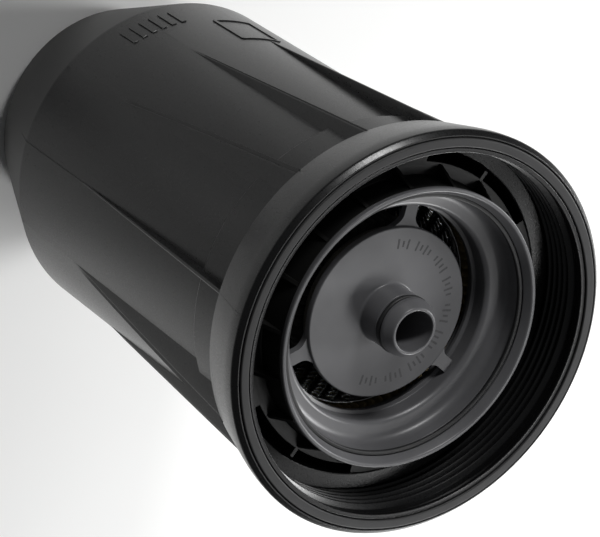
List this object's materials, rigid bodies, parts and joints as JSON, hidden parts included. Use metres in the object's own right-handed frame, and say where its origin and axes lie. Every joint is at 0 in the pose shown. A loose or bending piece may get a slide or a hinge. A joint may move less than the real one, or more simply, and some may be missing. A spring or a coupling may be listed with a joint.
{
  "type": "spin-on filter canister",
  "caption": "Ribbed canister shell with a threaded mouth, holding a pleated filter element with a central outlet nozzle on a coil spring.",
  "frame": {"origin": "centre of the flat closed end, on the face that the canister stands on", "axes": "+Z along the canister's axis, towards the open mouth; one outer rib lies 68 degrees clockwise from +X, seen from the mouth"},
  "size_m": [0.122, 0.122, 0.1844],
  "materials": {
    "shell_plastic": "satin",
    "cap_plastic": "satin",
    "grey_plastic": "satin",
    "seal_rubber": "matte",
    "tube_steel": "bright",
    "spring_steel": "satin",
    "filter_paper": "matte",
    "adhesive": "satin",
    "cage_plastic": "satin"
  },
  "bodies": {
    "canister": {"shell": "shell_plastic", "rim_gasket": "seal_rubber", "coil_spring": "spring_steel"},
    "seat": {"spring_seat": "tube_steel"},
    "element": {"upper_end_cap": "cap_plastic", "outlet_funnel": "grey_plastic", "funnel_seal": "seal_rubber", "outlet_spider": "grey_plastic", "nozzle_o_ring": "seal_rubber", "outer_media": "filter_paper", "upper_potting": "adhesive", "lower_potting": "adhesive", "centre_tube": "tube_steel", "inner_media": "filter_paper", "inner_core": "cage_plastic", "inner_potting": "adhesive", "inner_lower_cap": "cage_plastic", "lower_end_cap": "cap_plastic", "pleat_band_1": "adhesive", "pleat_band_2": "adhesive", "pleat_band_3": "adhesive"}
  },
  "joints": [
    {"name": "seat_slide", "type": "slide", "parent": "canister", "child": "seat", "axis": [0, 0, 1], "range_m": [-0.0035, 0], "stiffness_N_per_m": 5000, "springref_m": 0.004, "deforming": ["coil_spring"]},
    {"name": "element_lift", "type": "slide", "parent": "seat", "child": "element", "axis": [0, 0, 1], "range_m": [0, 0.15]}
  ]
}
